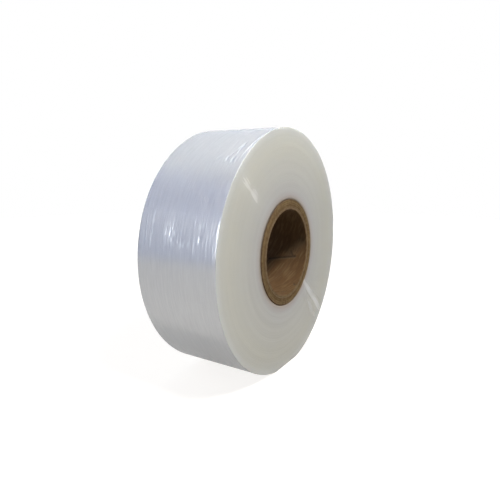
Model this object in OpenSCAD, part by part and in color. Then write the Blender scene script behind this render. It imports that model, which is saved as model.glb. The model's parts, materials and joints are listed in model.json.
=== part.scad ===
// Roll of clear stretch wrap, slit to a narrow width and wound on a paperboard core.
// The roll lies on its round side: +Z is up, the core runs along Y, and the origin is on the
// floor under the middle of the roll. The film has settled a little where it rests.

/* [Film] */
// Diameter over the outermost turn
film_d = 215; // [170:1:320]
// Width of the wound film, from one end face to the other
film_w = 75; // [50:1:150]
// Radius of the rounded rim where the round side meets an end face
rim_r = 2; // [1:0.25:4]
// Width of the flat spot that the roll lies on
flat_w = 40; // [36:1:60]
// Groups of turns that show as rings on each end face
turn_groups = 24; // [8:1:40]
// Furthest that one group of turns is shifted sideways against another
turn_shift = 0.3; // [0.05:0.05:0.5]
// Bands that run round the outermost turn side by side
side_bands = 18; // [6:1:30]
// Furthest that a band lies under the outermost diameter
band_depth = 0.25; // [0.05:0.05:0.5]

/* [Core] */
// Bore of the core, which a 3 inch mandrel goes through
core_bore = 76.2; // [50:0.1:110]
// Thickness of the core's wall
core_wall = 9; // [6:0.5:15]
// How far each end of the core stands out of the film
core_proud = 0.6; // [0:0.1:3]
// Rounding of the core's cut edges
core_edge_r = 0.8; // [0.3:0.1:0.9]
// Plies of board that show as rings on each end of the core
core_plies = 5; // [3:1:5]
// Width of the groove between two plies
ply_groove_w = 0.4; // [0.2:0.1:0.5]
// Depth of the groove between two plies
ply_groove_depth = 0.3; // [0.1:0.05:0.6]

/* [Hidden] */
$fn = 180;
film_r = film_d / 2;
bore_r = core_bore / 2;
core_r = bore_r + core_wall;
core_len = film_w + 2 * core_proud;
// Height of the core's axis over the floor
axis_h = sqrt(film_r * film_r - flat_w * flat_w / 4);
// Share of each ring or band that slopes to the next one
slope_share = 0.2;
// Chords in a quarter of a rounded edge
arc_steps = 8;
// Seeds that fix how the rings and the bands step up and down
ring_seed = 7;
band_seed = 23;
film_colour = [0.78, 0.79, 0.79, 0.92];
board_colour = [0.47, 0.37, 0.25];

// Steps between two places. Each step is level over its middle, lies at its own depth of up to
// most, and slopes to the next one. The result is a list of [place, depth] pairs.
function steps(from, to, count, most, seed) =
    let (pitch = (to - from) / count, depths = rands(0, most, count, seed))
    [for (i = [0:count - 1], end = [slope_share / 2, 1 - slope_share / 2])
        [from + (i + end) * pitch, depths[i]]];

// A quarter of a circle about [x, y], turning clockwise from the angle given in degrees
function quarter(x, y, r, from) =
    [for (i = [0:arc_steps]) let (a = from - 90 * i / arc_steps)
        [x + r * cos(a), y + r * sin(a)]];

function reversed(list) = [for (i = [len(list) - 1:-1:0]) list[i]];

// The section of the wound film, as [radius, place along the axis]. Every turn has the same
// width, so a group that is set back on one end face stands out by as much on the other.
function film_section() =
    let (
        face = film_w / 2,
        rim = film_r - rim_r,
        shoulder = face - rim_r,
        turns = steps(core_r, rim, turn_groups, turn_shift, ring_seed),
        bands = steps(shoulder, -shoulder, side_bands, band_depth, band_seed))
    concat(
        [[core_r, face - turns[0][1]]],
        [for (t = turns) [t[0], face - t[1]]],
        quarter(rim, shoulder, rim_r, 90),
        [for (b = bands) [film_r - b[1], b[0]]],
        quarter(rim, -shoulder, rim_r, 0),
        [for (t = reversed(turns)) [t[0], turn_shift - t[1] - face]],
        [[core_r, turn_shift - turns[0][1] - face]]);

// One end of the core's section: the rounded inner edge, the plies and the rounded outer edge
function core_end() =
    let (face = core_len / 2, edge = face - core_edge_r, ply = core_wall / core_plies)
    concat(
        quarter(bore_r + core_edge_r, edge, core_edge_r, 180),
        [for (i = [1:core_plies - 1], side = [-1, 0, 1])
            [bore_r + i * ply + side * ply_groove_w / 2,
             face - (side == 0 ? ply_groove_depth : 0)]],
        quarter(core_r - core_edge_r, edge, core_edge_r, 90));

// Lays a solid that was turned about Z along Y, with its axis at the roll's height
module lay_down() {
    translate([0, 0, axis_h]) rotate([90, 0, 0]) children();
}

// The wound turns of film are one solid, flattened where they rest on the floor
module film_roll() {
    color(film_colour) difference() {
        lay_down() rotate_extrude() polygon(film_section());
        translate([-film_r, -film_w, -film_r]) cube([film_d, 2 * film_w, film_r]);
    }
}

// The spirally wound paperboard tube in the middle of the roll
module cardboard_core() {
    color(board_colour) lay_down() rotate_extrude()
        polygon(concat(core_end(), [for (p = reversed(core_end())) [p[0], -p[1]]]));
}

film_roll();
cardboard_core();
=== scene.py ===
"""Looks of a narrow roll of clear stretch wrap on a paperboard core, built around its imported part."""
import json
import math

import bpy
import numpy as np
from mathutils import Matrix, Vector


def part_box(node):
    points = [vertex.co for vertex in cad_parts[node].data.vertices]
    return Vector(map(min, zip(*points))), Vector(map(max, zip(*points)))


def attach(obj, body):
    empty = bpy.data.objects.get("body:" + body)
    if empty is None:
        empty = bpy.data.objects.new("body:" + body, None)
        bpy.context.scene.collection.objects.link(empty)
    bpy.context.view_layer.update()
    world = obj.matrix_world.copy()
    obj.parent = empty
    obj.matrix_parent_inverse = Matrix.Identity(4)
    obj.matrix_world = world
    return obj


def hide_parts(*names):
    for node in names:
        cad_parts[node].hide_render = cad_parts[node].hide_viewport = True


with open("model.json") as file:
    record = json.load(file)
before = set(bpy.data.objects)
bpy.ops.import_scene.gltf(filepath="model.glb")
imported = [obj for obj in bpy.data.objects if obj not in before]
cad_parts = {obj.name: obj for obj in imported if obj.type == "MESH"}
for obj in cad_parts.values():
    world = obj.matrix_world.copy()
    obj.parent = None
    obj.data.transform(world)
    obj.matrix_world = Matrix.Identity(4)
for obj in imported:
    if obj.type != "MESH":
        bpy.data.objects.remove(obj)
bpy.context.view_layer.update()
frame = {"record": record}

# Wound film
# The film is one clear polyethylene web, slit narrow and wound tight round the core, so all of
# its turns make one body. The outermost turn is the glossy round side, drawn into fine bands
# that run with the winding, and the slit edges of all the turns make the two frosted end faces.
film_low, film_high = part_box("film_roll")
film_r = (film_high[0] - film_low[0]) / 2
film_half = (film_high[1] - film_low[1]) / 2
core_low, core_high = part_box("cardboard_core")
core_r = (core_high[0] - core_low[0]) / 2
mounts = {mount["name"]: mount for mount in frame["record"]["mounts"]}
axis_z = mounts["core_bore"]["pos_m"][2]
# The rim where an end face meets the round side, and how many rows of the mesh round it
rim_r = 0.0003
rim_rows = 2
# By each rim the outermost turn sinks by up to shoulder_drop over shoulder_w, most at the angle
# shoulder_at. Angles are taken about the core's axis, from +X towards +Z.
shoulder_w = 0.0024
shoulder_drop = 0.00036
shoulder_at = math.radians(168)
shoulder_reach = math.radians(16)
# Rows of the mesh on each end face, and the steps between those on the round side, which are
# closer from the front rim to close_rows_to, where most of the creases are
face_rows = 31
close_row_step = 0.00035
wide_row_step = 0.00042
close_rows_to = -0.017
# Between these two angles the outermost turn is creased and puckered, so the columns of the
# mesh stand closer there
close_from = math.radians(105)
close_to = math.radians(176)
close_column_step = math.radians(0.4)
wide_column_step = math.radians(1.5)
# Groups of turns stand back from each end face by up to turn_shift. Each slopes to the next one
# over group_slope of its width and wavers by up to twice turn_waver, in waver_cells stretches
# once round. Over the first and the last faded_groups all this fades out.
turn_groups = 24
turn_shift = 0.00015
turn_waver = 0.00004
waver_cells = 9
group_slope = 0.3
faded_groups = 2
front_seed = 31
back_seed = 32
# The bands of the round side and the finer streaks on them: how deep they lie, how many stand
# side by side, and in how many stretches they change on their way round
band_depth = 0.00006
bands_along = 30
bands_round = 14
band_seed = 11
streak_depth = 0.00010
streaks_along = 75
streaks_round = 45
streak_seed = 12
# What the outermost turn gives way to the floor, the turns under it give way too, less and less
# over squash_reach. Beyond floor_reach from straight down the floor is out of reach.
squash_reach = 0.030
floor_reach = math.radians(60)
# Each crease: the angle and the place along the axis where it starts, the same where it ends,
# its height and its width.
creases = (
    (134.5, -0.0333, 109.0, -0.0366, 0.00025, 0.00055),
    (132.0, -0.0276, 119.5, -0.0282, 0.00022, 0.00055),
    (127.0, -0.0262, 119.5, -0.0275, 0.00026, 0.00090),
    (134.6, -0.0273, 129.4, -0.0265, 0.00025, 0.00090),
    (133.8, -0.0221, 128.6, -0.0209, 0.00022, 0.00090),
    (135.0, -0.0308, 129.5, -0.0306, 0.00014, 0.00060),
    (133.5, -0.0205, 124.5, -0.0262, 0.00016, 0.00050),
    (133.2, -0.0110, 127.5, -0.0160, 0.00010, 0.00130),
    (152.0, 0.0268, 176.0, 0.0222, 0.00009, 0.00050),
    (154.0, 0.0322, 176.0, 0.0272, 0.00010, 0.00060),
    (160.0, 0.0300, 177.0, 0.0292, 0.00007, 0.00060),
    (154.0, -0.0194, 172.0, -0.0246, 0.00003, 0.00060),
)
# A crease swings by crease_zigzag to both sides, once in every crease_pitch. The film beside it,
# crease_foot_at widths away, sinks by crease_foot of its height. At the height crease_full the
# film counts as fully folded and takes the full painted highlight.
crease_zigzag = 0.00022
crease_pitch = 0.0050
crease_foot = 0.3
crease_foot_at = 1.8
crease_full = 0.00030
# The creases by the front rim rise from a shallow bed that runs across the whole width and is
# deepest at the angle crease_bed_at
crease_bed = 0.00030
crease_bed_at = math.radians(125)
crease_bed_reach = math.radians(14)
# Each puckered patch: the angle and the place along the axis of its middle, its reach in degrees
# and along the axis, and how strongly it is puckered.
puckers = (
    (165.0, 0.0059, 5.5, 0.0056, 1.0),
    (164.0, -0.0205, 5.0, 0.0022, 0.45),
    (167.3, 0.0242, 4.2, 0.0013, 0.9),
    (158.7, 0.0238, 3.5, 0.0011, 0.7),
    (169.3, -0.0060, 2.0, 0.0040, 0.7),
    (169.0, -0.0125, 2.0, 0.0030, 0.5),
    (161.8, -0.0216, 2.4, 0.0013, 1.0),
    (166.8, -0.0221, 1.4, 0.0013, 0.9),
)
# The folds in a puckered patch sink by up to twice pucker_depth. They are about pucker_pitch
# wide across the turns and pucker_run long round them.
pucker_depth = 0.00013
pucker_pitch = 0.0010
pucker_run = 0.0038
pucker_seed = 13
# Each patch of painted highlight on the front end face, where the edges are also more matte:
# the angle and the radius of its middle, its reach in degrees and outwards, and how strong the
# highlight and the matting are there.
ruffle_highlights = (
    (136.6, 0.0780, 3.0, 0.0072, 0.37),
    (137.4, 0.0910, 3.0, 0.0090, 0.26),
    (-43.8, 0.0640, 2.2, 0.0160, 1.0),
    (-43.4, 0.0860, 1.8, 0.0160, 1.0),
    (-51.0, 0.0850, 1.6, 0.0140, 0.5),
)


def smooth_noise(u, v, cells_u, cells_v, seed):
    """Noise from -1 to 1 for every v down and every u across, both from 0 to 1. Random heights
    stand at the corners of a grid that closes on itself in u. Between four corners the height
    is their mean, weighted with smooth steps 3t^2 - 2t^3 in both directions."""
    corners = np.random.default_rng(seed).uniform(-1, 1, (cells_v + 1, cells_u))
    across = u * cells_u
    down = v * cells_v
    left = np.floor(across).astype(int)
    top = np.minimum(np.floor(down).astype(int), cells_v - 1)
    s = across - left
    t = down - top
    s = (s * s * (3 - 2 * s))[None, :]
    t = (t * t * (3 - 2 * t))[:, None]
    right = (left + 1) % cells_u
    left = left % cells_u
    upper = corners[top][:, left] * (1 - s) + corners[top][:, right] * s
    lower = corners[top + 1][:, left] * (1 - s) + corners[top + 1][:, right] * s
    return upper * (1 - t) + lower * t


def side_noise(angle, along, cells_round, cells_along, seed):
    """Smooth noise from -1 to 1 over the round side. The angle is taken as a share of a turn and
    the place along the axis as a share of the film's width."""
    turn = (angle / (2 * math.pi)) % 1.0
    share = (along + film_half) / (2 * film_half)
    return smooth_noise(turn, share, cells_round, cells_along, seed)


def film_angles():
    """Angles of the mesh's columns, once round: the steps are wide where the film lies plain
    and narrow from close_from to close_to."""
    close = np.arange(close_from, close_to, close_column_step)
    wide = np.arange(close_to, close_from + 2 * math.pi, wide_column_step)
    return np.concatenate([close, wide])


def patch_share(across, angle, patches):
    """How strongly each point lies in one of the patches, from 0 to 1. Each patch fades from its
    middle as a bell both ways, exp(-(a/reach)^2 - (d/reach)^2), where a is the angle from its
    middle and d the distance across the turns, and the strongest patch counts."""
    share = np.zeros((len(across), len(angle)))
    for middle, middle_across, reach, reach_across, strength in patches:
        around = ((np.degrees(angle)[None, :] - middle + 180) % 360 - 180) / reach
        beside = (across[:, None] - middle_across) / reach_across
        share = np.maximum(share, strength * np.exp(-around ** 2 - beside ** 2))
    return share


def by_line(angle, along, radius, line):
    """Where each point lies by a straight line on the unrolled surface of that radius: how far
    along the line it is and how far off it, as the dot and the cross product of the line's
    direction and the way from its start, and how long the line is."""
    from_deg, from_y, to_deg, to_y = line
    start = np.array([math.radians(from_deg) * radius, from_y])
    run = np.array([math.radians(to_deg) * radius, to_y]) - start
    length = np.hypot(*run)
    run = run / length
    arc = angle[None, :] * radius - start[0]
    place = along[:, None] - start[1]
    return arc * run[0] + place * run[1], arc * run[1] - place * run[0], length


def crease_height(angle, along):
    """Height of the creases over the round side, and depth of the feet beside them. Each crease
    is a ridge with a bell section, exp(-(d/w)^2), where d is the distance to a zigzag line
    between the crease's two ends and w its width. It fades out towards both ends as sin(pi t),
    with t from 0 to 1 along it. Its foot has the same section, crease_foot_at times w beside
    it."""
    height = np.zeros((len(along), len(angle)))
    foot = np.zeros((len(along), len(angle)))
    for *line, top, width in creases:
        far, off, length = by_line(angle, along, film_r, line)
        wave = np.abs((far / crease_pitch) % 1.0 * 2 - 1) * 2 - 1
        from_ridge = (off - crease_zigzag * wave) / width
        fade = np.sin(math.pi * np.clip(far / length, 0, 1))
        height += top * fade * np.exp(-from_ridge ** 2)
        foot += top * fade * np.exp(-(from_ridge + crease_foot_at) ** 2)
    return height, foot


def pucker_folds(angle, along):
    """Smooth noise from -1 to 1 whose cells are short across the turns and long round them."""
    cells_round = round(2 * math.pi * film_r / pucker_run)
    cells_across = round(2 * film_half / pucker_pitch)
    return side_noise(angle, along, cells_round, cells_across, pucker_seed)


def turn_setback(radius, angle, seed):
    """How far each group of turns stands back from the end face. The groups step at random
    between none and turn_shift, with a straight slope from one to the next, and each wavers a
    little on its way round."""
    share = (radius - core_r) / (film_r - core_r)
    groups = np.random.default_rng(seed).uniform(0, 1, turn_groups + 1)
    step = share * turn_groups
    index = np.minimum(step.astype(int), turn_groups - 1)
    blend = np.clip((step - index - (1 - group_slope)) / group_slope, 0, 1)
    level = groups[index] * (1 - blend) + groups[index + 1] * blend
    turn = (angle / (2 * math.pi)) % 1.0
    waver = smooth_noise(turn, share, waver_cells, turn_groups * 2, seed + 1)
    back = level[:, None] * turn_shift + (waver + 1) * turn_waver
    # The first and the last row keep their place, because the core and the rim meet them there
    ends = np.clip(np.minimum(share, 1 - share) * turn_groups / faded_groups, 0, 1)
    return back * ends[:, None]


def side_setback(along, angle):
    """How far the outermost turn lies under the roll's largest radius: wide bands side by side,
    finer streaks on them that start and end on their way round, and puckers in a few patches.
    By each rim it sinks as (1 - d/shoulder_w)^2, where d is the distance from the end face. The
    bed is a bell over the angle, exp(-(a/crease_bed_reach)^2), and the creases rise from it."""
    bands = (side_noise(angle, along, bands_round, bands_along, band_seed) + 1) / 2
    streaks = (side_noise(angle, along, streaks_round, streaks_along, streak_seed) + 1) / 2
    bed = np.exp(-((angle - crease_bed_at) / crease_bed_reach) ** 2)
    depth = band_depth * bands + streak_depth * streaks + crease_bed * bed
    depth += pucker_depth * (1 - pucker_folds(angle, along)) * patch_share(along, angle, puckers)
    from_rim = np.clip((film_half - np.abs(along)) / shoulder_w, 0, 1)
    rounded = np.exp(-((angle - shoulder_at) / shoulder_reach) ** 2)
    depth += shoulder_drop * rounded * (1 - from_rim[:, None]) ** 2
    height, foot = crease_height(angle, along)
    return np.maximum(depth - height + crease_foot * foot, 0)


def fold_share(along, angle):
    """How sharply the outermost turn is folded, from -1 to 1: the height of a crease as a share
    of crease_full, less than none at its foot, or in a puckered patch how far its folds stand
    up. It places the round side's painted highlight and painted shade."""
    height, foot = crease_height(angle, along)
    creased = np.clip((height - foot) / crease_full, -1, 1)
    puckered = (0.5 + 0.5 * pucker_folds(angle, along)) * patch_share(along, angle, puckers)
    return np.where(puckered > np.abs(creased), puckered, creased)


def settle(radius, angle):
    """The radius after the film has settled where it rests. Straight down it may reach no
    further than the floor, axis_z / cos(angle from straight down). What the outermost turn
    gives way, the turns under it give way too, less and less over squash_reach."""
    down = np.cos(angle + math.pi / 2)
    floor_away = axis_z / np.maximum(down, math.cos(floor_reach))
    give = film_r - np.minimum(floor_away, film_r)
    share = np.clip((radius - film_r + squash_reach) / squash_reach, 0, 1)
    return radius - give * share * share * (3 - 2 * share)


def film_surface():
    """The closed skin of the wound film, as rows of points once round the axis. The rows follow
    the section: out over the front end face, round the rim as a quarter of a circle, along the
    round side, round the other rim and in over the back end face. The second result is a mask
    of painted light: on the round side how sharply the film is folded at each point, up to 1,
    on the front end face how strong its painted highlight is, and on the front rim -1, which
    gives the rim its painted shade."""
    angle = film_angles()
    quarter = np.linspace(0, math.pi / 2, rim_rows + 2)[1:-1]
    # The two outermost rows of an end face stand only 2 * rim_r apart, so that it ends flat
    radius = np.append(np.linspace(core_r, film_r - 3 * rim_r, face_rows - 1), film_r - rim_r)
    front = -film_half + turn_setback(radius, angle, front_seed)
    back = film_half - turn_setback(radius, angle, back_seed)
    side = np.concatenate([
        np.arange(-film_half + rim_r, close_rows_to, close_row_step),
        np.arange(close_rows_to, film_half - rim_r, wide_row_step)])
    side_r = film_r - side_setback(side, angle)
    level = np.ones(len(angle))
    # Each end face reaches out to where its rim begins, rim_r inside the side's nearest row
    share = ((radius - core_r) / (film_r - rim_r - core_r))[:, None]
    front_r = core_r + share * (side_r[0] - rim_r - core_r)
    back_r = core_r + share * (side_r[-1] - rim_r - core_r)
    front_rim_r = side_r[0] - rim_r + rim_r * np.sin(quarter)[:, None]
    front_rim_y = (-film_half + rim_r - rim_r * np.cos(quarter))[:, None] * level
    back_rim_r = side_r[-1] - rim_r + rim_r * np.cos(quarter)[:, None]
    back_rim_y = (film_half - rim_r + rim_r * np.sin(quarter))[:, None] * level
    rows_r = np.vstack([front_r, front_rim_r, side_r, back_rim_r, back_r[::-1]])
    rows_y = np.vstack([front, front_rim_y, side[:, None] * level, back_rim_y, back[::-1]])
    rows_r = settle(rows_r, angle[None, :])
    x = rows_r * np.cos(angle)
    z = np.maximum(axis_z + rows_r * np.sin(angle), 0)
    folds = np.zeros(rows_r.shape)
    first = face_rows + rim_rows
    # The front end face takes the share of its patches of painted highlight
    folds[:face_rows] = patch_share(radius, angle, ruffle_highlights)
    # The front rim takes -1, which gives it a painted shade
    folds[face_rows:first] = -1
    folds[first:first + len(side)] = fold_share(side, angle)
    return np.stack([x, rows_y, z], axis=2), folds


def closed_mesh(name, points, mask_name, mask):
    """A mesh of four-sided faces on a grid of points that closes on itself both ways, with a
    mask of one number per point. The columns turn from +X towards +Z, so the faces point
    outwards where the rows run out over the front end face and in over the back one."""
    rows, columns = points.shape[:2]
    index = np.arange(rows * columns).reshape(rows, columns)
    next_row = np.roll(index, -1, axis=0)
    corners = (index, next_row, np.roll(next_row, -1, axis=1), np.roll(index, -1, axis=1))
    faces = np.stack(corners, axis=2).reshape(-1, 4)
    mesh = bpy.data.meshes.new(name)
    mesh.vertices.add(rows * columns)
    mesh.vertices.foreach_set("co", points.reshape(-1).astype(np.float32))
    mesh.loops.add(faces.size)
    mesh.loops.foreach_set("vertex_index", faces.reshape(-1).astype(np.int32))
    mesh.polygons.add(len(faces))
    mesh.polygons.foreach_set("loop_start", np.arange(0, faces.size, 4, dtype=np.int32))
    mesh.polygons.foreach_set("use_smooth", np.ones(len(faces), bool))
    mesh.update(calc_edges=True)
    mesh.validate()
    mask_data = mesh.attributes.new(mask_name, "FLOAT", "POINT").data
    mask_data.foreach_set("value", mask.reshape(-1).astype(np.float32))
    made = bpy.data.objects.new(name, mesh)
    bpy.context.scene.collection.objects.link(made)
    return made


def plug_in(tree, node, inputs):
    """Links each named or numbered input of a node to the socket given for it, or sets it to the
    plain value."""
    for name, value in inputs.items():
        if isinstance(value, bpy.types.NodeSocket):
            tree.links.new(value, node.inputs[name])
        else:
            node.inputs[name].default_value = value


def add_node(tree, kind, inputs=(), **settings):
    """A shader node with its settings and its inputs."""
    made = tree.nodes.new(kind)
    for name, value in settings.items():
        setattr(made, name, value)
    plug_in(tree, made, dict(inputs))
    return made


def add_math(tree, operation, *inputs):
    """The result of a Math node."""
    made = add_node(tree, "ShaderNodeMath", dict(enumerate(inputs)), operation=operation)
    return made.outputs[0]


def add_vector_math(tree, operation, *inputs):
    """The result of a Vector Math node that gives a vector."""
    made = add_node(tree, "ShaderNodeVectorMath", dict(enumerate(inputs)), operation=operation)
    return made.outputs["Vector"]


def add_length(tree, vector):
    """The length of a vector."""
    made = add_node(tree, "ShaderNodeVectorMath", {0: vector}, operation="LENGTH")
    return made.outputs["Value"]


def add_noise(tree, place, scale, detail, roughness=0.5):
    """Noise read at a place."""
    made = add_node(tree, "ShaderNodeTexNoise", {
        "Vector": place, "Scale": scale, "Detail": detail, "Roughness": roughness})
    return made.outputs["Fac"]


def add_range(tree, value, low, high, to_low, to_high):
    """The value carried from low..high to to_low..to_high, and no further."""
    made = add_node(tree, "ShaderNodeMapRange", {
        "Value": value, "From Min": low, "From Max": high, "To Min": to_low, "To Max": to_high})
    return made.outputs["Result"]


def opaque(colour):
    """A plain colour with its fourth number, or a socket as it is."""
    return colour if isinstance(colour, bpy.types.NodeSocket) else (*colour, 1)


def add_mix(tree, factor, first, second):
    """A colour between the first and the second one, by the factor. In a Mix node inputs 6 and 7
    and output 2 are the ones for colours."""
    made = add_node(tree, "ShaderNodeMix", {
        0: factor, 6: opaque(first), 7: opaque(second)}, data_type="RGBA")
    return made.outputs[2]


def add_ramp(tree, value, stops):
    """A colour that follows value through the stops, each a place from 0 to 1 and a colour."""
    made = add_node(tree, "ShaderNodeValToRGB", {"Fac": value})
    points = made.color_ramp.elements
    for point, (position, colour) in zip((points[0], points[-1]), (stops[0], stops[-1])):
        point.position = position
        point.color = opaque(colour)
    for position, colour in stops[1:-1]:
        points.new(position).color = opaque(colour)
    return made.outputs["Color"]


def add_bump(tree, height, distance, strength, under=None):
    """The normal over a height of that distance in metres, on top of another normal if given."""
    made = add_node(tree, "ShaderNodeBump", {
        "Height": height, "Distance": distance, "Strength": strength})
    if under is not None:
        plug_in(tree, made, {"Normal": under})
    return made.outputs["Normal"]


def add_mask(tree, name):
    """The mask of that name on the piece's mesh."""
    return add_node(tree, "ShaderNodeAttribute", attribute_name=name).outputs["Fac"]


def new_finish(name):
    """A material with its node tree, its Principled shader and the place on the piece, measured
    from the middle of the roll's axis."""
    made = bpy.data.materials.new(name)
    made.use_nodes = True
    tree = made.node_tree
    place = add_node(tree, "ShaderNodeMapping", {
        "Vector": add_node(tree, "ShaderNodeTexCoord").outputs["Object"],
        "Location": (0, 0, -axis_z)})
    return made, tree, tree.nodes["Principled BSDF"], place.outputs["Vector"]


def new_group(name, numbers, result):
    """A shader node group that takes the named numbers and a place and gives one number, and the
    sockets that bring these in."""
    group = bpy.data.node_groups.new(name, "ShaderNodeTree")
    for number in numbers:
        group.interface.new_socket(number, in_out="INPUT", socket_type="NodeSocketFloat")
    group.interface.new_socket("Place", in_out="INPUT", socket_type="NodeSocketVector")
    group.interface.new_socket(result, in_out="OUTPUT", socket_type="NodeSocketFloat")
    return group, add_node(group, "NodeGroupInput").outputs


def radius_group():
    """A node group that turns a place on a piece into its distance from the roll's axis: the
    length of the place without its part along the axis."""
    group, given = new_group("distance_from_axis", (), "Radius")
    flat = add_vector_math(group, "MULTIPLY", given["Place"], (1, 0, 1))
    add_node(group, "NodeGroupOutput", {"Radius": add_length(group, flat)})
    return group


def winding_group():
    """A node group of streaks that run with the winding. Noise is read at a point whose first
    coordinate is the place across the turns, finely scaled, and whose other two are the place
    round the axis, coarsely scaled, so each streak is narrow and long."""
    group, given = new_group("winding_streaks", ("Across", "Fineness", "Run", "Shift"), "Streaks")
    around = add_node(group, "ShaderNodeSeparateXYZ", {"Vector": given["Place"]}).outputs
    point = add_node(group, "ShaderNodeCombineXYZ", {
        "X": add_math(group, "MULTIPLY_ADD", given["Across"], given["Fineness"], given["Shift"]),
        "Y": add_math(group, "MULTIPLY", around["X"], given["Run"]),
        "Z": add_math(group, "MULTIPLY", around["Z"], given["Run"])})
    streaks = add_noise(group, point.outputs["Vector"], scale=1.0, detail=4.0, roughness=0.62)
    add_node(group, "NodeGroupOutput", {"Streaks": streaks})
    return group


distance_from_axis = radius_group()
winding_streaks = winding_group()


def add_radius(tree, place):
    """The distance_from_axis group in a material."""
    made = add_node(tree, "ShaderNodeGroup", {"Place": place}, node_tree=distance_from_axis)
    return made.outputs["Radius"]


def add_streaks(tree, place, across, fineness, run, shift):
    """The winding_streaks group in a material, read across the turns at the given socket."""
    made = add_node(tree, "ShaderNodeGroup", {
        "Place": place, "Across": across, "Fineness": fineness, "Run": run, "Shift": shift,
    }, node_tree=winding_streaks)
    return made.outputs["Streaks"]


def spread_gloss(tree, shader, strength):
    """Draws out what the film mirrors at right angles to the winding, as fine lines round the
    roll's axis do. The rotation is a quarter of a turn."""
    around = add_node(tree, "ShaderNodeTangent", direction_type="RADIAL", axis="Y")
    plug_in(tree, shader, {
        "Tangent": around.outputs["Tangent"],
        "Anisotropic": strength,
        "Anisotropic Rotation": 0.25})


# Colours of the round side: its milky body and the paler streaks and the clouds in it, and
# on folded film a painted highlight on crease ridges and puckers and a painted shade where it
# sinks in
side_tone = (0.44, 0.44, 0.435)
side_pale = (0.49, 0.49, 0.485)
side_cloud = (0.44, 0.44, 0.44)
fold_painted_highlight = (0.90, 0.91, 0.93)
fold_painted_shade = (0.22, 0.24, 0.29)


def film_side_finish():
    """The outermost turn: glossy clear film over a milky body. Streaks along the winding vary
    its tint, its gloss and its height. Crease ridges and puckered patches get a painted
    highlight, the feet of the creases a painted shade."""
    made, tree, shader, place = new_finish("film_side")
    across = add_node(tree, "ShaderNodeSeparateXYZ", {"Vector": place}).outputs["Y"]
    fine = add_streaks(tree, place, across, fineness=700, run=60, shift=3.0)
    broad = add_streaks(tree, place, across, fineness=260, run=35, shift=11.0)
    cloud = add_noise(tree, place, scale=22.0, detail=2.0)
    folds_and_painted_light = add_mask(tree, "folds_and_painted_light")
    tint = add_mix(tree, add_range(tree, fine, 0.32, 0.68, 0, 1), side_tone, side_pale)
    tint = add_mix(tree, add_range(tree, cloud, 0.35, 0.7, 0, 0.35), tint, side_cloud)
    # Painted highlight on crease ridges and puckers, painted shade at the feet of the creases
    tint = add_mix(tree, add_range(tree, folds_and_painted_light, 0.1, 1, 0, 0.6), tint, fold_painted_highlight)
    tint = add_mix(tree, add_range(tree, folds_and_painted_light, -0.1, -0.8, 0, 0.6), tint, fold_painted_shade)
    normal = add_bump(tree, broad, distance=0.0003, strength=0.4)
    normal = add_bump(tree, fine, distance=0.00015, strength=0.8, under=normal)
    spread_gloss(tree, shader, strength=0.4)
    # The layers of film under the outermost turn mirror light too, which a high IOR stands for
    plug_in(tree, shader, {
        "Base Color": tint,
        "Roughness": add_range(tree, fine, 0.3, 0.7, 0.17, 0.21),
        "Normal": normal,
        "IOR": 3.5,
        "Subsurface Weight": 1.0,
        "Subsurface Radius": (0.9, 0.95, 1.0),
        "Subsurface Scale": 0.003})
    return made


# Colours of the end faces from the core to the rim, where the brown board glows through the
# innermost turns; the paler outermost ones are a painted glow of light that comes in from the
# side. Then those of the rings, of the painted highlight in a few patches and of the painted
# shade on the rim.
edge_tones_and_glow = (
    (0.0, (0.26, 0.18, 0.12)),
    (0.025, (0.34, 0.29, 0.245)),
    (0.06, (0.39, 0.36, 0.33)),
    (0.12, (0.435, 0.425, 0.41)),
    (0.35, (0.475, 0.47, 0.432)),
    (0.75, (0.52, 0.513, 0.450)),
    (0.90, (0.53, 0.53, 0.482)),
    (0.96, (0.56, 0.565, 0.54)),
    (1.0, (0.57, 0.58, 0.555)),
)
edge_grey = (0.45, 0.45, 0.43)
edge_pale = (0.66, 0.66, 0.63)
ruffle_painted_highlight = (0.80, 0.81, 0.82)
rim_painted_shade = (0.35, 0.36, 0.36)
# Roughness of the slit edges, of those in the patches of painted highlight and of the rim
edge_roughness = 0.22
ruffle_roughness = 0.65
rim_roughness = 0.70
# Scales of the stripes of painted highlight and roughness in a patch, round the axis and away from it
fan_fineness = 100.0
fan_run = 30.0


def add_fan(tree, place, radius):
    """Stripes that fan out from the axis. Noise is read at a point whose X and Z are the
    direction from the axis, finely scaled, and whose Y is the distance from it, coarsely
    scaled."""
    flat = add_vector_math(tree, "MULTIPLY", place, (1, 0, 1))
    outward = add_node(tree, "ShaderNodeVectorMath", {
        0: add_vector_math(tree, "NORMALIZE", flat), "Scale": fan_fineness}, operation="SCALE")
    away = add_node(tree, "ShaderNodeCombineXYZ", {
        "Y": add_math(tree, "MULTIPLY", radius, fan_run)})
    point = add_vector_math(tree, "ADD", outward.outputs["Vector"], away.outputs["Vector"])
    return add_noise(tree, point, scale=1.0, detail=2.0)


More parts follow.
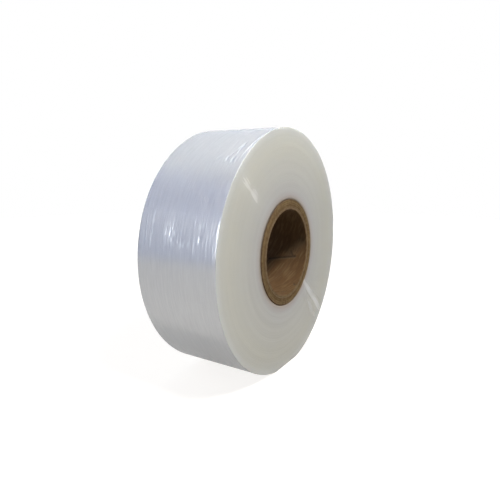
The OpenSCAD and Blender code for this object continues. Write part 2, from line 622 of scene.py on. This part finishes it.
def film_edge_finish():
    """The slit edges of the turns: frosted and milky, with fine and broad rings. In a few patches
    stripes that fan out from the axis get a painted highlight and are more matte. The rim gets
    a painted shade."""
    made, tree, shader, place = new_finish("film_edge")
    radius = add_radius(tree, place)
    share = add_range(tree, radius, core_r, film_r, 0, 1)
    fine = add_streaks(tree, place, radius, fineness=1500, run=5, shift=5.0)
    broad = add_streaks(tree, place, radius, fineness=190, run=3, shift=17.0)
    folds_and_painted_light = add_mask(tree, "folds_and_painted_light")
    # Stripes of painted highlight, more matte too, over the patches of ruffle_highlights
    stripes = add_range(tree, add_fan(tree, place, radius), 0.36, 0.60, 0.3, 1)
    ruffle_highlight = add_math(tree, "MULTIPLY", folds_and_painted_light, stripes)
    rim = add_range(tree, folds_and_painted_light, 0, -1, 0, 1)
    tint = add_ramp(tree, share, edge_tones_and_glow)
    tint = add_mix(tree, add_range(tree, fine, 0.35, 0.65, 0, 0.10), tint, edge_grey)
    tint = add_mix(tree, add_range(tree, broad, 0.38, 0.66, 0, 0.08), tint, edge_pale)
    # Painted highlight where the key lamp's streaks fall on the end face
    tint = add_mix(tree, add_range(tree, ruffle_highlight, 0, 1, 0, 0.85), tint, ruffle_painted_highlight)
    # Painted shade on the rim, which keeps it from shining brighter than the face
    tint = add_mix(tree, rim, tint, rim_painted_shade)
    # The roughness is mixed as a grey
    matte = add_mix(tree, ruffle_highlight, (edge_roughness,) * 3, (ruffle_roughness,) * 3)
    matte = add_mix(tree, rim, matte, (rim_roughness,) * 3)
    normal = add_bump(tree, broad, distance=0.0002, strength=0.3)
    normal = add_bump(tree, fine, distance=0.00020, strength=0.5, under=normal)
    spread_gloss(tree, shader, strength=1.0)
    plug_in(tree, shader, {
        "Base Color": tint,
        "Roughness": matte,
        "Normal": normal,
        "IOR": 1.65,
        "Subsurface Weight": 0.9,
        "Subsurface Radius": (1.0, 0.95, 0.85),
        "Subsurface Scale": 0.005})
    return made


film_points, film_folds_and_light = film_surface()
film = closed_mesh("wound_film", film_points, "folds_and_painted_light", film_folds_and_light)
film.data.materials.append(film_side_finish())
film.data.materials.append(film_edge_finish())
# The rows of faces on the two end faces and their rims are slit edges, and so is the row that
# closes the skin along the core
row = np.arange(len(film.data.polygons)) // film_points.shape[1]
end_rows = face_rows + rim_rows
slit_edge = (row < end_rows) | (row >= film_points.shape[0] - end_rows - 1)
film.data.polygons.foreach_set("material_index", slit_edge.astype(np.int32))
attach(film, "root")
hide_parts("film_roll")

# Core
# The core is a tube of brown paperboard, wound spirally from five plies and cut square. The cut
# shows the plies as rings, and the bore shows the edges of the innermost ply as helical seams.
bore_r = mounts["core_bore"]["dims"]["r_mm"] / 1000
core_half = (core_high[1] - core_low[1]) / 2
# The rounded cut edges, and the mesh: rows round an edge, across an end's flat part and along
# the bore, and columns once round
core_edge_r = 0.0008
core_edge_steps = 5
core_end_rows = 31
bore_rows = 96
core_columns = 420
# The plies with the grooves between them. Between the fibres of its cut ends the board sinks by
# up to twice ply_fuzz, in fuzz_round by fuzz_across cells of noise.
plies = 5
ply_groove_w = 0.00022
ply_groove_depth = 0.00030
ply_fuzz = 0.00007
fuzz_round = 160
fuzz_across = 18
front_fuzz_seed = 41
back_fuzz_seed = 42
# The seams of the innermost ply run towards the front end as they turn from +X towards +Z. They
# show only faintly, by seam_mark of a full mark.
seam_pitch = -0.130
seam_width = 0.0007
seam_depth = 0.00018
seam_at = math.radians(-90)
seam_mark = 0.4
# Each scar in the bore, the broad third one a shallow dip whose dark is a painted shade: the
# angle and the place along the axis where it starts, the same where it ends, its depth and its
# width. One that is scar_full deep has a full mark.
scars_and_shade = (
    (-24.0, 0.0010, -16.5, -0.0265, 0.0007, 0.0013),
    (-17.0, -0.0240, -9.5, -0.0215, 0.0007, 0.0011),
    # Painted shade on the bore's right wall, on a broad shallow dip
    (-12.0, -0.0200, 8.0, -0.0330, 0.0004, 0.0050),
    (-92.0, -0.0240, -78.0, -0.0330, 0.0006, 0.0006),
    (-62.0, -0.0360, -60.0, -0.0345, 0.0007, 0.0009),
)
scar_full = 0.0007


def bore_damage(angle, along):
    """Depth of the seams and of each scar in the bore, and how far each point is marked by one, from
    0 to 1; on the broad scar the mark is a painted shade. A seam is a helix and a scar a straight
    line in the unrolled bore, both with a bell section, exp(-(d/w)^2), and a scar fades out past
    its ends."""
    turn = (angle[None, :] - seam_at) / (2 * math.pi) - along[:, None] / seam_pitch
    slope = math.atan(seam_pitch / (2 * math.pi * bore_r))
    from_seam = (turn - np.round(turn)) * seam_pitch * math.cos(slope)
    seam = np.exp(-(from_seam / seam_width) ** 2)
    depth = seam_depth * seam
    mark = seam_mark * seam
    # The scars' angles are between -180 and 180 degrees
    scar_angle = (angle + math.pi) % (2 * math.pi) - math.pi
    for *line, deep, width in scars_and_shade:
        far, off, length = by_line(scar_angle, along, bore_r, line)
        past = np.maximum(np.maximum(-far, far - length), 0)
        scar = np.exp(-(off / width) ** 2 - (past / width) ** 2)
        depth = np.maximum(depth, deep * scar)
        mark = np.maximum(mark, scar * min(deep / scar_full, 1))
    return depth, mark


def core_surface():
    """The closed skin of the core, as rows of points once round the axis: out over the front
    end, with a quarter of a circle at both edges, in over the back end and along the bore. The
    grooves between the plies have a bell section, exp(-(d/w)^2). The second result says how far
    each point is marked by a seam or a scar."""
    angle = np.linspace(0, 2 * math.pi, core_columns, endpoint=False)
    level = np.ones(core_columns)
    quarter = np.linspace(0, math.pi / 2, core_edge_steps + 1)
    inner_r = bore_r + core_edge_r - core_edge_r * np.cos(quarter)
    inner_y = -core_half + core_edge_r - core_edge_r * np.sin(quarter)
    flat_r = np.linspace(bore_r + core_edge_r, core_r - core_edge_r, core_end_rows)[1:-1]
    outer_r = core_r - core_edge_r + core_edge_r * np.sin(quarter)
    outer_y = -core_half + core_edge_r - core_edge_r * np.cos(quarter)
    end_r = np.concatenate([inner_r, flat_r, outer_r])
    end_y = np.concatenate([inner_y, np.full(len(flat_r), -core_half), outer_y])
    ply = (core_r - bore_r) / plies
    from_joint = np.abs((end_r - bore_r) / ply - np.round((end_r - bore_r) / ply)) * ply
    between = (end_r > bore_r + ply / 2) & (end_r < core_r - ply / 2)
    groove = ply_groove_depth * np.exp(-(from_joint / ply_groove_w) ** 2) * between
    share = (end_r - bore_r) / (core_r - bore_r)
    turn = angle / (2 * math.pi)
    ends_y = []
    for seed in (front_fuzz_seed, back_fuzz_seed):
        fuzz = (smooth_noise(turn, share, fuzz_round, fuzz_across, seed) + 1) * ply_fuzz
        ends_y.append((end_y + groove)[:, None] * level + fuzz)
    along = np.linspace(core_half - core_edge_r, -core_half + core_edge_r, bore_rows + 2)[1:-1]
    depth, mark = bore_damage(angle, along)
    rows_r = np.vstack([end_r[:, None] * level, end_r[::-1, None] * level, bore_r + depth])
    rows_y = np.vstack([ends_y[0], -ends_y[1][::-1], along[:, None] * level])
    marks = np.zeros(rows_r.shape)
    marks[-bore_rows:] = mark
    points = np.stack([rows_r * np.cos(angle), rows_y, axis_z + rows_r * np.sin(angle)], axis=2)
    return points, marks


# Colours of the board: its plies from the bore to the outside, whose first tone, which the
# whole bore takes, is darkened as painted shade, the dark fibres and the pale flecks in them,
# and what a seam or a scar lays bare, which on the broad scar is a painted shade
ply_tones_and_bore_shade = (
    (0.0, (0.100, 0.053, 0.020)),
    (0.08, (0.180, 0.122, 0.066)),
    (0.24, (0.198, 0.138, 0.077)),
    (0.36, (0.125, 0.078, 0.034)),
    (0.50, (0.130, 0.082, 0.034)),
    (0.62, (0.165, 0.108, 0.048)),
    (0.80, (0.190, 0.128, 0.058)),
    (0.90, (0.150, 0.098, 0.048)),
    (1.0, (0.070, 0.044, 0.024)),
)
fibre_dark = (0.075, 0.040, 0.016)
fleck_pale = (0.205, 0.140, 0.068)
scar_dark_and_painted_shade = (0.022, 0.012, 0.006)
# Scale of the noise along the strips of board, below 1 so that the fibres are longer than wide
fibre_along = 0.70


def board_finish():
    """Brown paperboard: long fibres, flecks, tones that change from ply to ply on the cut ends,
    and a bore darkened as painted shade, with the helical seams of the innermost ply and dark
    scar marks, the broadest of them a painted shade."""
    made, tree, shader, place = new_finish("paperboard")
    wall = add_range(tree, add_radius(tree, place), bore_r, core_r, 0, 1)
    # Turned back by the seams' helix, the place runs straight along the wound strips of board,
    # so noise stretched along the axis there makes fibres that follow the strips
    along = add_node(tree, "ShaderNodeSeparateXYZ", {"Vector": place}).outputs["Y"]
    strip = add_node(tree, "ShaderNodeVectorRotate", {
        "Vector": place,
        "Angle": add_math(tree, "MULTIPLY", along, 2 * math.pi / seam_pitch),
    }, rotation_type="Y_AXIS")
    stretched = add_node(tree, "ShaderNodeMapping", {
        "Vector": strip.outputs["Vector"], "Scale": (1.0, fibre_along, 1.0)}).outputs["Vector"]
    fibre = add_noise(tree, stretched, scale=420.0, detail=4.0, roughness=0.65)
    fleck = add_noise(tree, stretched, scale=240.0, detail=3.0)
    mark = add_mask(tree, "mark")
    # The bore takes the first tone, darkened as painted shade
    tone = add_ramp(tree, wall, ply_tones_and_bore_shade)
    tone = add_mix(tree, add_range(tree, fibre, 0.42, 0.62, 0, 0.6), tone, fibre_dark)
    tone = add_mix(tree, add_range(tree, fleck, 0.48, 0.66, 0, 0.35), tone, fleck_pale)
    # Dark along the seams and each scar; on the broad one it is a painted shade
    tone = add_mix(tree, add_range(tree, mark, 0.1, 1, 0, 0.75), tone, scar_dark_and_painted_shade)
    plug_in(tree, shader, {
        "Base Color": tone,
        "Roughness": 0.85,
        "Specular IOR Level": 0.2,
        "Normal": add_bump(tree, fibre, distance=0.0003, strength=0.6)})
    return made


core_points, core_marks = core_surface()
core = closed_mesh("paperboard_core", core_points, "mark", core_marks)
core.data.materials.append(board_finish())
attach(core, "root")
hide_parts("cardboard_core")

# Stage
# A round pale floor that fades out towards its edge, a small key lamp in front of the roll and
# above it, a lamp overhead, soft panels for the window and the walls of a daylit room, which
# the film mirrors, and a surround that the camera sees as white.
floor_r = 1.5
floor_sides = 96
# The floor starts to fade floor_fade from its edge, and is clear at floor_clear of its radius
floor_fade = 0.6
floor_clear = 0.98
# The floor's glow in gloss and for the camera: between which distances from the middle it
# grows, and from which strength to which. The weaker glow in gloss close to the roll is a
# painted shadow.
mirrored_glow_and_shadow = (0.03, 0.15, 0.50, 0.68)
seen_glow = (0.3, 0.9, 0.83, 1.0)
floor_tone = (0.28, 0.267, 0.240)
glow_tone = (1, 0.985, 0.97)
daylight_tone = (0.93, 0.96, 1.0)
# Strength of the surround's light, and what gloss mirrors on top of it in front of the roll
daylight = 0.15
mirrored_daylight = 0.32


def floor_finish():
    """Matte board. It glows for the camera, which sees it paler than it lights the roll, and far
    out nearly white. Gloss that mirrors it sees less of the glow, least of all close to the
    roll, where this is a painted shadow. Towards its edge the board fades out."""
    made = bpy.data.materials.new("floor")
    made.use_nodes = True
    tree = made.node_tree
    away = add_length(tree, add_node(tree, "ShaderNodeTexCoord").outputs["Object"])
    path = add_node(tree, "ShaderNodeLightPath").outputs
    mirrored = add_range(tree, away, *mirrored_glow_and_shadow)
    seen = add_range(tree, away, *seen_glow)
    glow = add_math(tree, "MULTIPLY", path["Is Glossy Ray"], mirrored)
    glow = add_math(tree, "MULTIPLY_ADD", path["Is Camera Ray"], seen, glow)
    plug_in(tree, tree.nodes["Principled BSDF"], {
        "Base Color": opaque(floor_tone),
        "Roughness": 0.7,
        "Emission Color": opaque(glow_tone),
        "Emission Strength": glow,
        "Alpha": add_range(tree, away, floor_r - floor_fade, floor_r * floor_clear, 1, 0)})
    return made


def stage_floor():
    """A disc of triangles about its middle, with its finish."""
    angle = np.linspace(0, 2 * math.pi, floor_sides, endpoint=False)
    ring = np.stack([
        floor_r * np.cos(angle), floor_r * np.sin(angle), np.zeros(floor_sides)], axis=1)
    points = np.vstack([[[0, 0, 0]], ring])
    corner = np.arange(floor_sides) + 1
    faces = np.stack([np.zeros(floor_sides, int), corner, np.roll(corner, -1)], axis=1)
    mesh = bpy.data.meshes.new("floor")
    mesh.from_pydata(points.tolist(), [], faces.tolist())
    mesh.materials.append(floor_finish())
    made = bpy.data.objects.new("floor", mesh)
    bpy.context.scene.collection.objects.link(made)
    return made


def panel(name, towards, distance, width, height, power, colour):
    """A rectangular lamp in the direction towards, seen from the middle of the roll, facing it."""
    lamp = bpy.data.lights.new(name, "AREA")
    lamp.shape = "RECTANGLE"
    lamp.size = width
    lamp.size_y = height
    lamp.energy = power
    lamp.color = colour
    made = bpy.data.objects.new(name, lamp)
    away = np.array(towards) / np.linalg.norm(towards)
    made.location = (away * distance + np.array([0, 0, axis_z])).tolist()
    made.rotation_euler = Vector(-away).to_track_quat("-Z", "Y").to_euler()
    bpy.context.scene.collection.objects.link(made)


def surround():
    """A world of faint daylight from all sides. Gloss mirrors it brighter on the side of the
    front end face than behind the roll, and the camera sees white."""
    made = bpy.data.worlds.new("surround")
    made.use_nodes = True
    tree = made.node_tree
    towards = add_node(tree, "ShaderNodeTexCoord").outputs["Generated"]
    towards_y = add_node(tree, "ShaderNodeSeparateXYZ", {"Vector": towards}).outputs["Y"]
    path = add_node(tree, "ShaderNodeLightPath").outputs
    mirrored = add_range(tree, towards_y, 0.2, -0.1, 0, mirrored_daylight)
    strength = add_math(tree, "MULTIPLY_ADD", mirrored, path["Is Glossy Ray"], daylight)
    light = tree.nodes["Background"]
    plug_in(tree, light, {"Color": opaque(daylight_tone), "Strength": strength})
    white = add_node(tree, "ShaderNodeBackground", {"Color": (1, 1, 1, 1), "Strength": 1.0})
    shown = add_node(tree, "ShaderNodeMixShader", {
        0: path["Is Camera Ray"], 1: light.outputs[0], 2: white.outputs[0]})
    plug_in(tree, tree.nodes["World Output"], {"Surface": shown.outputs[0]})
    return made


stage_floor()
# Each lamp's direction from the roll, its distance, width and height, its power and its colour
panel("key_lamp", (-0.195, -0.495, 0.846), 0.6, 0.13, 0.13, 4.7, (1.0, 0.985, 0.97))
panel("overhead", (0.02, 0.17, 0.97), 1.1, 0.46, 0.10, 0.85, (0.95, 0.97, 1.0))
panel("window", (-0.94, 0.22, 0.28), 1.8, 0.63, 0.9, 6.8, (0.86, 0.92, 1.0))
panel("cool_wall", (-0.70, 0.60, 0.14), 2.2, 2.0, 1.7, 8.6, (0.60, 0.68, 0.95))
panel("dim_wall", (-0.50, 0.62, 0.72), 2.2, 1.9, 1.05, 3.7, (0.39, 0.50, 0.92))
panel("bright_wall", (0.40, 0.58, 0.77), 2.2, 2.25, 2.7, 10.9, (0.72, 0.82, 1.0))
panel("right_wall", (0.93, 0.25, 0.12), 1.9, 2.4, 1.3, 3.6, (0.88, 0.93, 1.0))
panel("back_wall", (0.12, 0.97, 0.20), 2.0, 1.1, 0.9, 12.0, (1.0, 0.985, 0.96))
bpy.context.scene.world = surround()

# Camera
# It stands where the photograph was taken from: to the left of the end face and a little above,
# looking down by camera_dip. The turn is counted from +Y towards +X.
camera_place = (-0.3423, -0.2127, 0.1798)
camera_turn = math.radians(57.89)
camera_dip = math.radians(10.61)
camera_lens = 31.69
sensor = 36.0
nearest = 0.01
lens = bpy.data.cameras.new("camera")
lens.lens = camera_lens
lens.sensor_width = sensor
lens.clip_start = nearest
camera = bpy.data.objects.new("camera", lens)
camera.location = camera_place
camera.rotation_euler = (math.pi / 2 - camera_dip, 0, -camera_turn)
bpy.context.scene.collection.objects.link(camera)
bpy.context.scene.camera = camera
bpy.context.scene.view_settings.view_transform = "Standard"
bpy.context.scene.view_settings.look = "None"

bpy.context.view_layer.update()
